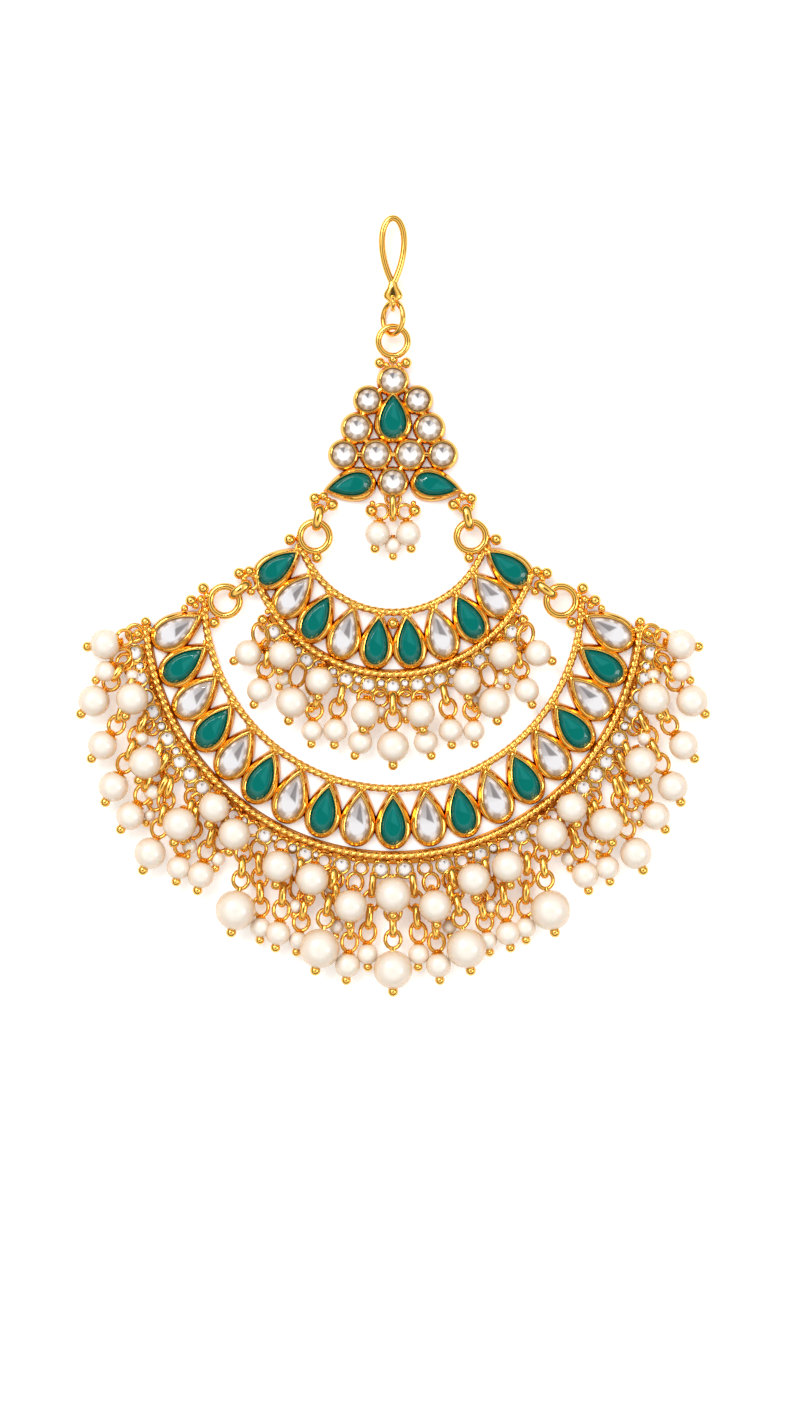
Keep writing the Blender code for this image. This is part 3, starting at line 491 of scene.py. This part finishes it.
GILDING = gilding_group()
# Each gilt finish paints its shade up to its own height.
GILT = gilt("Gilt wire", GILDING, 0.15, Hollow_Height=1.3)
GILT_SETTING = gilt("Gilt settings", GILDING, 0.35, Hollow_Height=1.7)
GILT_ROPE = gilt("Gilt rope", GILDING, 0.2, Bright=(0.9, 0.48, 0.11, 1), Hollow_Height=1.9, Polish=0.1)
# Painted shade: the channel's gilt is dark brown all over, for the shade it lies in between the settings and the
# rim rope.
SHADED_CHANNEL_GILT = gilt("Gilt channel", GILDING, 0.5, Bright=(0.36, 0.14, 0.02, 1), Deep=(0.2, 0.07, 0.01, 1),
                    Polish=0.3)
PEARL = pearl_skin()
# Stone colours: table and tip, then painted reflections: the streak, the light and dark facets of the ring, and the
# edge.
GREEN = stone_skin("Green stone", (0.0, 0.15, 0.125, 1), (0.0, 0.125, 0.105, 1), (0.01, 0.2, 0.175, 1),
                   (0.0, 0.135, 0.11, 1), (0.0, 0.11, 0.09, 1), (0.0, 0.075, 0.06, 1))
CLEAR = stone_skin("Clear stone", (0.72, 0.71, 0.73, 1), (0.46, 0.4, 0.39, 1), (0.13, 0.115, 0.12, 1),
                   (0.78, 0.73, 0.7, 1), (0.42, 0.33, 0.27, 1), (0.36, 0.25, 0.16, 1))
CLEAR_ROUND = stone_skin("Clear round stone", (0.85, 0.84, 0.85, 1), (0.7, 0.67, 0.66, 1), (0.1, 0.09, 0.1, 1),
                         (0.74, 0.66, 0.58, 1), (0.45, 0.35, 0.26, 1), (0.36, 0.25, 0.16, 1),
                         apex=0.02, widen=0.75, stop=-0.5, ring_start=0.55)
CRYSTAL = stone_skin("Small crystal", (0.85, 0.84, 0.85, 1), (0.75, 0.73, 0.73, 1), (0.12, 0.11, 0.12, 1),
                     (0.84, 0.82, 0.8, 1), (0.6, 0.56, 0.52, 1), (0.62, 0.55, 0.48, 1),
                     apex=0.1, widen=0.6, stop=-0.5)


# Settings and stones

def seat_line(size, offset, count):
    """The pear that a bezel's lip leaves open: narrower than the CAD stone and set back from the round end."""
    line = pear_line((size[0] + 0.3, size[1] - 0.6, size[2]), offset, count)
    return line + [0.25, 0.0]


def bezel_rows(size, count=64):
    """A pear bezel from its flared foot up to a shoulder, then a thin worn lip, and down to the stone's bed."""
    marks = 0.04 * np.sin(np.arange(count) * 2 * np.pi * 16 / count) ** 2
    rows = [(pear_line(size, WALL, count) * 0.0, 0.0)]
    for offset, height in ((0.2, 0.0), (0.2, 0.35), (0.1, 1.0), (-0.04, 1.5), (-0.2, 1.75)):
        rows.append((pear_line(size, WALL + offset, count), height))
    for offset, height in ((0.44, 1.86), (0.36, 2.08), (0.22, 2.16), (0.08, 2.08), (0.0, 1.8), (0.0, STONE_BED)):
        shrink = marks[:, None] / 3 if height > 2.0 else 0.0
        rows.append((seat_line(size, offset, count) * (1.0 - shrink), height))
    rows.append((rows[0][0], STONE_BED))
    return rows


def pear_stone_rows(size, count=20):
    """A cut pear: its edge in the bed, two rings of facets and a flat table, with the cut attribute of each row."""
    line = seat_line(size, 0.03, count)
    half = (line + np.roll(line, -1, 0)) / 2
    rows = [(line * 0.0, STONE_FOOT), (line * 0.6, 0.9), (line, 1.5), (half * 0.84, 1.95), (line * 0.64, 2.28),
            (line * 0.6, 2.3), (line * 0.0, 2.32)]
    cut = np.array([np.column_stack([place / size[0], np.full(count, share)]) for (place, _), share in
                    zip(rows, (0.0, 0.5, 1.0, 0.84, 0.64, 0.6, 0.0))])
    return rows, cut


def pear_places(size, crescent):
    """Places of a crescent's pears, tips on the inner rope: (x, y, degrees, index from the middle)."""
    tip_radius = crescent["radius"] + TIP_SPACE
    round_radius = tip_radius + size[0] + (1 + size[2]) * WALL - size[1] / 2 - WALL
    pitch = np.degrees(PITCH_ROOM * (size[1] + 2 * WALL) / round_radius)
    number = np.arange(crescent["stones"]) - (crescent["stones"] - 1) / 2
    tip = around(crescent["y"], tip_radius, crescent["fan"] * pitch * number)
    back = around(crescent["y"], round_radius, pitch * number)
    heading = (tip - back) / np.linalg.norm(tip - back, axis=1, keepdims=True)
    middle = tip - heading * (size[0] / 2 + size[2] * WALL)
    return np.column_stack([middle, np.degrees(np.arctan2(heading[:, 1], heading[:, 0])), number]), tip


def pear_stones(names, size, places, greens):
    """Each stone is a piece of its own, which stands for its node."""
    rows, cut = pear_stone_rows(size)
    for name, place, green in zip(names, places, greens):
        material, slot = (GREEN, "green_glass") if green else (CLEAR, "clear_glass")
        piece("cut_" + name, [lofted(rows, place[None, :3])], material, (name,), 0.0, cut)


ROUND_BEZEL = ((0.0, 0.0), (1.04, 0.0), (1.06, 0.4), (1.04, 1.0), (1.0, 1.5), (0.95, 1.75), (0.91, 1.86),
               (0.89, 2.08), (0.84, 2.16), (0.79, 2.08), (0.765, 1.8), (0.765, STONE_BED), (0.0, STONE_BED))
CRYSTAL_CUP = ((0.0, 0.15), (0.8, 0.15), (1.0, 0.6), (1.08, 1.2), (1.03, 1.45), (0.92, 1.5), (0.8, 1.4),
               (0.78, 0.8), (0.0, 0.8))


def upright(profile, table, reach, sides=24):
    """A profile whose radii are shares of each row's own radius plus a reach, standing at (x, y)."""
    profile = np.asarray(profile, float)
    turn = 2 * np.pi * np.arange(sides) / sides
    radius = profile[None, :, 0, None] * (table[:, 2] + reach)[:, None, None]
    x = table[:, 0, None, None] + radius * np.cos(turn)
    y = table[:, 1, None, None] + radius * np.sin(turn)
    return np.stack([x, y, np.broadcast_to(profile[None, :, 1, None], x.shape)], -1), False


def round_stones(name, table, foot, top, material, sides=16):
    """Round stones with a table and a ring of facets, as one piece."""
    turn = 2 * np.pi * np.arange(sides) / sides
    half = turn + np.pi / sides
    rise = top - foot
    rows = ((0.0, 0.0, turn), (0.7, 0.0, turn), (1.0, 0.45, turn), (0.8, 0.78, half), (0.6, 0.97, turn),
            (0.56, 1.0, turn), (0.0, 1.0, turn))
    x = np.array([share * np.cos(angle) for share, _, angle in rows])
    y = np.array([share * np.sin(angle) for share, _, angle in rows])
    z = np.array([np.full(sides, foot + rise * level) for _, level, _ in rows])
    radius = table[:, 2, None, None]
    points = np.stack([table[:, 0, None, None] + radius * x, table[:, 1, None, None] + radius * y,
                       np.broadcast_to(z, (len(table), *z.shape))], -1)
    cut = np.stack([0.5 * y, 0.5 * x, np.array([np.full(sides, share) for share, _, _ in rows])], -1)
    piece(name, [(points, False)], material, (), 0.0, np.tile(cut, (len(table), 1, 1, 1)))


def granules(table):
    """Soldered balls at (x, y, radius, height)."""
    table = mirrored(table)
    return turned(ball(), table[:, [0, 1, 3]], UP, table[:, 2])


def crescent_metal(size, places, tips):
    """Bezels, and a bead and two struts at each tip that solder it to the inner rope."""
    parts = [lofted(bezel_rows(size), places)]
    height = np.full((len(tips), 1), TIP_Z)
    parts.append(turned(ball(6), np.hstack([tips, height]), UP, TIP_BEAD, 10))
    heading = np.radians(places[:, 2])
    along = np.stack([np.cos(heading), np.sin(heading)], -1)
    across = np.stack([-along[:, 1], along[:, 0]], -1)
    for side in (-1.0, 1.0):
        start, stop = (np.hstack([tips + on * along + side * out * across, height + up])
                       for on, out, up in STRUT_ENDS)
        parts.append(rods(start, stop, STRUT_WIRE))
    return parts


def channels(crescent):
    """The plain recessed band inside the rim rope, and the one outside it that backs the crystals."""
    rim_y, rim, end = crescent["rim_y"], crescent["rim"], crescent["ends"][1]
    band = [(-CHANNEL, 0.25), (0.2, 0.25), (0.2, 0.8), (-0.5, 0.8), (-CHANNEL, 0.6)]
    outside = [(0.2, 0.25), (1.5, 0.25), (1.5, 0.7), (0.2, 0.95)]
    return (along_arc(band, rim_y, rim, (-end, end), 90),
            along_arc(outside, rim_y, rim, (-crescent["gallery"], crescent["gallery"]), 90))


def gallery(centre_y, crystals, open_rings):
    """Small crystals in cups and open rings, soldered in a row outside the rim rope."""
    def spots(table):
        table = np.array(table)
        places = around(centre_y, table[:, 1], table[:, 0])
        return mirrored(np.column_stack([np.round(places, 6), table[:, 2]]))

    stones, rings = spots(crystals), spots(open_rings)
    inner_edge = min(row[1] for row in crystals) - SOLDER_SPACE
    spread = np.arange(SOLDER_START, max(row[0] for row in crystals), np.degrees(SOLDER_STEP / inner_edge))
    solder = around(centre_y, inner_edge, spread)
    solder = mirrored(np.column_stack([solder, np.tile([SOLDER_SIZE, SOLDER_Z], (len(solder), 1))]))
    ring_places = np.column_stack([rings[:, :2], np.full(len(rings), LOOP_Z)])
    return stones, [upright(CRYSTAL_CUP, stones, 0.22, 16),
                    flat_rings(ring_places, rings[:, 2] - LOOP_WIRE, LOOP_WIRE),
                    turned(ball(5), solder[:, [0, 1, 3]], UP, solder[:, 2], 8)]


# Hook, oval link and top plate

def hook_wire():
    """A wire on a pear line with its point down at the collar."""
    line = pear_line(HOOK_PEAR, 0.0, 60)
    path = np.stack([-line[:, 1], HOOK_Y - line[:, 0], np.full(len(line), HOOK_Z)], -1)
    heading = np.roll(path, -1, 0) - np.roll(path, 1, 0)
    heading /= np.linalg.norm(heading, axis=1, keepdims=True)
    outward = np.cross(heading, UP)
    section = 2 * np.pi * np.arange(12) / 12
    ring = np.cos(section)[:, None] * outward[:, None] + np.sin(section)[:, None] * UP
    return (path[:, None] + HOOK_WIRE * ring)[None], True


def collar(top_y):
    """A flattened neck: its half width and thickness are smooth functions of the way down."""
    down = np.array([0.0, 0.02, 0.15, 0.35, 0.55, 0.7, 0.82, 0.93, 1.0, 1.0])
    wide = np.array([0.0, 0.8, 0.85, 1.1, 1.6, 1.75, 1.6, 1.0, 0.75, 0.0])
    thick = np.array([0.0, 0.55, 0.75, 0.8, 0.75, 0.7, 0.65, 0.6, 0.5, 0.0])
    turn = 2 * np.pi * np.arange(20) / 20
    x = wide[:, None] * np.sign(np.cos(turn)) * np.abs(np.cos(turn)) ** 0.8
    z = HOOK_Z + thick[:, None] * np.sin(turn)
    y = np.broadcast_to((top_y + COLLAR_LAP - COLLAR_LENGTH * down)[:, None], x.shape)
    return np.stack([x, y, z], -1)[None], False


NORTH = np.array([[0.0, 1.0, 0.0]])
neck_y = HOOK_Y - NECK_DROP
tab_y = neck_y + COLLAR_LAP - COLLAR_LENGTH - TAB_LAP
tab = loops(np.array([[0.0, tab_y, HOOK_Z]]), NORTH, UP[None], TAB_LONG, TAB_WIDE, TAB_WIRE)
piece("hook_wire", [hook_wire(), collar(neck_y), tab], GILT, ("hook",))
link_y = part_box("top_link")[0].y / MM + OVAL_LONG + OVAL_WIRE
oval_wide = np.hypot(OVAL_SIDE, OVAL_RISE)
tilt = np.array([[OVAL_SIDE, 0.0, OVAL_RISE]]) / oval_wide
oval = loops(np.array([[0.0, link_y, HOOK_Z]]), NORTH, tilt, OVAL_LONG, oval_wide, OVAL_WIRE, steps=36, sides=12)
piece("oval_link", [oval], GILT, ("top_link",))

rounds = mirrored(ROUNDS)
plate = [upright(ROUND_BEZEL, rounds, WALL, 28), lofted(bezel_rows(CROWN_PEAR), CROWN_PLACE),
         lofted(bezel_rows(SIDE_PEAR), SIDE_PLACES), granules(PLATE_GRANULES)]
ring_y = link_y - OVAL_LONG + OVAL_WIRE + PLAY + TOP_RING_WIRE - RING
plate.append(flat_rings(np.array([[0.0, ring_y, HOOK_Z]]), RING, TOP_RING_WIRE))
plate.append(flat_rings(mirrored(np.array([(*PLATE_EYE, RING_Z)])), EYE, EYE_WIRE))
apart = np.linalg.norm(rounds[:, None, :2] - rounds[None, :, :2], axis=2)
first, second = np.nonzero(np.triu((apart > BRIDGE_SPAN[0]) & (apart < BRIDGE_SPAN[1])))
middles = (rounds[first, :2] + rounds[second, :2]) / 2
between = (rounds[second, :2] - rounds[first, :2]) / apart[first, second][:, None]
level = np.full((len(middles), 1), BRIDGE_Z)
plate.append(rods(np.hstack([middles - BRIDGE_HALF * between, level]),
                  np.hstack([middles + BRIDGE_HALF * between, level]), BRIDGE_WIRE))
piece("plate_settings", plate, GILT_SETTING, ("top_plate",))
round_stones("plate_stones", np.column_stack([rounds[:, :2], rounds[:, 2] + 0.02]), STONE_FOOT, STONE_TOP,
             CLEAR_ROUND)
pear_stones(["crown_pear"], CROWN_PEAR, CROWN_PLACE, [True])
pear_stones(["side_pear_right", "side_pear_left"], SIDE_PEAR, SIDE_PLACES, [True, True])

# Crescents

for label, crescent, size, table, crystals, open_rings in (
        ("inner", INNER, INNER_PEAR, INNER_GRANULES, INNER_CRYSTALS, INNER_LOOPS),
        ("outer", OUTER, OUTER_PEAR, OUTER_GRANULES, OUTER_CRYSTALS, OUTER_LOOPS)):
    places, tips = pear_places(size, crescent)
    stones, row = gallery(crescent["rim_y"], crystals, open_rings)
    inside, outside = channels(crescent)
    parts = crescent_metal(size, places, tips) + row + [granules(table), outside]
    if label == "inner":
        parts.append(flat_rings(mirrored(np.array([(*UPPER_RING, RING_Z)])), RING, RING_WIRE))
        parts.append(flat_rings(mirrored(np.array([(*CRESCENT_EYE, RING_Z)])), EYE, EYE_WIRE))
    else:
        parts.append(flat_rings(mirrored(np.array([(*LOWER_RING, RING_Z)])), RING, RING_WIRE))
        end = around(crescent["rim_y"], END_RING_ROW, np.array([END_RING_ANGLE]))
        parts.append(flat_rings(mirrored(np.column_stack([end, [[ROPE_Z]]])), END_RING, END_RING_WIRE))
    piece(f"{label}_settings", parts, GILT_SETTING, (f"{label}_crescent",))
    ropes = [rope(crescent[middle], crescent[radius], end) for middle, radius, end in
             (("y", "radius", crescent["ends"][0]), ("rim_y", "rim", crescent["ends"][1]))]
    piece(f"{label}_ropes", ropes, GILT_ROPE)
    # The inner band takes the gilt that is painted in shade.
    piece(f"{label}_channel", [inside], SHADED_CHANNEL_GILT)
    round_stones(f"{label}_crystals", np.column_stack([stones[:, :2], stones[:, 2] * CRYSTAL_SHARE]), CRYSTAL_FOOT,
                 CRYSTAL_TOP, CRYSTAL, 10)
    number = places[:, 3]
    side = np.where(number > 0, "right", "left")
    if label == "inner":
        names = [f"inner_pear_{s}_{int(abs(n) + 1)}" for s, n in zip(side, number)]
    else:
        names = [f"outer_pear_{s}_{int(abs(n))}" if n else "outer_pear_centre" for s, n in zip(side, number)]
    pear_stones(names, size, places, [int(abs(n)) % 2 == 0 for n in number])


# Links at the corners

def corner_link(name, ring_place, eye_place):
    """A link on edge from an eye to a ring, thicker across than it is along."""
    eye, target = (np.array([*place, RING_Z]) for place in (eye_place, ring_place))
    span = np.linalg.norm(target - eye)
    away = (target - eye) / span
    near, far = CORNER_START, span - RING + CORNER_REACH
    middle = eye + away * (near + far) / 2
    link = loops(middle[None], away[None], UP[None], (far - near) / 2, CORNER_WIDE, CORNER_WIRE, CORNER_FLAT,
                 square=0.8)
    piece(name + "_wire", [link], GILT, (name,))


for row, name in enumerate(("right", "left")):
    for level, places in (("upper", (UPPER_RING, PLATE_EYE)), ("lower", (LOWER_RING, CRESCENT_EYE))):
        corner_link(f"{level}_link_{name}", *(mirrored(np.array([place]))[row] for place in places))


# Pearls, their pins and chains

CAP = ((0.0, 0.86), (0.46, 0.86), (0.54, 0.93), (0.48, 1.0), (0.3, 1.03), (0.26, 1.08), (0.35, 1.13), (0.26, 1.18),
       (0.35, 1.23), (0.24, 1.28), (0.0, 1.3))


def pearl_parts(table):
    """Pearls and, for each, the direction of its pin, towards the cap."""
    table = mirrored(table)
    radius = table[:, 2]
    centres = np.column_stack([table[:, 0], table[:, 1], radius + table[:, 3]])
    pin = np.radians(table[:, 4]) * np.sign(table[:, 0] + 1e-9)
    towards = np.stack([-np.sin(pin), np.cos(pin), np.zeros(len(pin))], -1)
    return table, centres, towards


def pin_metal(table, centres, towards):
    """A ball below each pearl with its neck, and a wound cap above."""
    radius = table[:, 2]
    ball_size = np.clip(0.1 * radius + 0.66, 0.7, PIN_BALL)
    below = centres - towards * (0.97 * radius + 0.55 * ball_size)[:, None]
    necks = rods(centres - towards * (radius * 0.9)[:, None], below, NECK_WIRE)
    shanks = rods(centres + towards * (radius * 0.9)[:, None], centres + towards * (radius * 1.05 + 0.3)[:, None],
                  SHANK_WIRE)
    return [turned(ball(), below, UP, ball_size), necks, turned(CAP, centres, towards, np.minimum(radius, 2.6), 14),
            shanks]


def pearl_balls(table, centres):
    return turned(ball(14), centres, UP, table[:, 2], 26)


def chain_parts(table, centres, towards, starts):
    """Rings that lie flat and links on edge, turn about, from each start down to the pearl's cap."""
    tops = centres + towards * (table[:, 2] * 1.1 + 0.35)[:, None]
    flat, edge = [], []
    for top, start in zip(tops, starts):
        span = start - top
        length = np.linalg.norm(span)
        count = max(1, int(round(length / LINK_STEP)))
        share = (np.arange(count) + 0.5) / count
        middles = top + span * share[:, None]
        heading = span / length
        half = np.full(count, length / count / 2 + LINK_WIRE)
        rows = np.column_stack([middles, np.tile(heading, (count, 1)), half])
        flat.append(rows[::2])
        edge.append(rows[1::2])
    flat, edge = np.concatenate(flat), np.concatenate(edge)
    level = flat[:, 3:6] * [1, 1, 0.3]
    level /= np.linalg.norm(level, axis=1, keepdims=True)
    across = np.cross(UP, level)
    across /= np.linalg.norm(across, axis=1, keepdims=True)
    parts = [loops(flat[:, :3], level, across, np.maximum(flat[:, 6], FLAT_LINK), FLAT_LINK, LINK_WIRE, steps=18)]
    if len(edge):
        edge[:, 2] = np.maximum(edge[:, 2], EDGE_LINK_Z)
        level = edge[:, 3:6]
        over = np.cross(np.cross(level, UP), level)
        over /= np.linalg.norm(over, axis=1, keepdims=True)
        parts.append(loops(edge[:, :3], level, over, edge[:, 6] + 0.25, 0.95, 0.42, 1.6, steps=18, square=0.8))
    return parts


def fringe(label, table, crescent, nodes):
    """The pearls of a fringe stand for its solids, and its chains and pins hang with them."""
    table, centres, towards = pearl_parts(table)
    start = around(crescent["rim_y"], crescent["rail"], table[:, 5] * np.sign(table[:, 0] + 1e-9))
    starts = np.column_stack([start, np.full(len(start), CHAIN_Z)])
    piece(f"{label}_pearls", [pearl_balls(table, centres)], PEARL, nodes, 60.0)
    behind = table[:, 3] < FRONT_LIFT
    parts = pin_metal(table, centres, towards)
    parts += chain_parts(table[behind], centres[behind], towards[behind], starts[behind])
    piece(f"{label}_chains", parts, GILT)


fringe("inner_fringe", INNER_PEARLS, INNER, ("inner_fringe",))
fringe("outer_centre", OUTER_CENTRE_PEARLS, OUTER, ("outer_centre_drops",))
fringe("outer_fringe", OUTER_PEARLS, OUTER, ("outer_fringe_right", "outer_fringe_left"))

# Drops below the top plate

table, centres, towards = pearl_parts(TOP_PEARLS)
for row, name in enumerate(("top_drop_right", "top_drop_centre", "top_drop_left")):
    piece(name + "_pearl", [pearl_balls(table[row:row + 1], centres[row:row + 1])], PEARL, (name,), 60.0)
bail = loops(np.array([[0.0, 17.9, 1.9]]), NORTH, UP[None], 2.3, 1.1, 0.42, 1.55, square=0.8)
rings = flat_rings(np.array([(2.15, 17.1, 1.3), (-2.15, 17.1, 1.3), (0.0, 19.6, 1.1)]), 1.3, 0.34)
piece("top_drop_chains", [*pin_metal(table, centres, towards), bail, rings], GILT)


# Floor, light and camera

def stage_material(name, colour):
    made, _, shader = new_tree(name)
    shader.inputs["Base Color"].default_value = (*colour, 1.0)
    shader.inputs["Roughness"].default_value = 0.9
    shader.inputs["Specular IOR Level"].default_value = 0.1
    shader.inputs["Emission Color"].default_value = (1.0, 0.985, 0.96, 1.0)
    shader.inputs["Emission Strength"].default_value = 0.3
    return made


# Metres from here on: half the floor's side, and its top just under the ornament
FLOOR, FLOOR_Z = 3, -0.00005
corners = [(x * FLOOR, y * FLOOR, FLOOR_Z) for x, y in ((-1, -1), (1, -1), (1, 1), (-1, 1))]
floor_mesh = bpy.data.meshes.new("floor")
floor_mesh.from_pydata(corners, [], [(0, 1, 2, 3)])
floor_mesh.materials.append(stage_material("White table", (0.93, 0.93, 0.925)))
floor = bpy.data.objects.new("floor", floor_mesh)
bpy.context.scene.collection.objects.link(floor)

world = bpy.data.worlds.new("Studio")
bpy.context.scene.world = world
world.use_nodes = True
tree = world.node_tree
back = tree.nodes["Background"]
rise = node(tree, "ShaderNodeSeparateXYZ", in0=node(tree, "ShaderNodeTexCoord").outputs["Generated"]).outputs[2]
ramp = node(tree, "ShaderNodeValToRGB", in0=rise)
stops = ramp.color_ramp.elements
stops[0].position, stops[0].color = 0.0, (0.4, 0.4, 0.4, 1)
stops[1].position, stops[1].color = 1.0, (0.1, 0.1, 0.1, 1)
for place, level in ((0.28, 0.16), (0.5, 0.55), (0.72, 1.35), (0.86, 1.5), (0.95, 0.9), (0.972, 0.55),
                     (0.984, 0.1)):
    stops.new(place).color = (level, level, level, 1)
tree.links.new(ramp.outputs[0], back.inputs["Color"])
back.inputs["Strength"].default_value = 0.86


def softbox(name, place, size, power):
    """A square area light aimed at the middle of the ornament."""
    light = bpy.data.lights.new(name, "AREA")
    light.shape, light.size, light.energy = "SQUARE", size, power
    made = bpy.data.objects.new(name, light)
    made.location = place
    aim = np.array([0.0, -0.01, 0.0]) - np.array(place)
    made.rotation_euler = Vector(aim).to_track_quat("-Z", "Y").to_euler()
    bpy.context.scene.collection.objects.link(made)


softbox("Key", (-0.4, 0.5, 0.75), 0.55, 5.0)
softbox("Glint", (-0.12, 0.3, 0.8), 0.06, 0.35)
softbox("Fill", (0.6, -0.1, 0.5), 0.3, 1.2)

# The camera looks straight down and takes in a length of PICTURE at the level of the settings
DISTANCE = 0.6
PICTURE = 0.2529
SENSOR = 36.0
camera = bpy.data.cameras.new("Camera")
camera.sensor_fit = "VERTICAL"
camera.sensor_height = SENSOR
camera.lens = SENSOR * DISTANCE / PICTURE
camera.clip_start, camera.clip_end = 0.01, 20.0
stand = bpy.data.objects.new("Camera", camera)
stand.location = (0.00126, -0.01728, DISTANCE + 0.0025)
bpy.context.scene.collection.objects.link(stand)
bpy.context.scene.camera = stand
bpy.context.scene.view_settings.view_transform = "Standard"
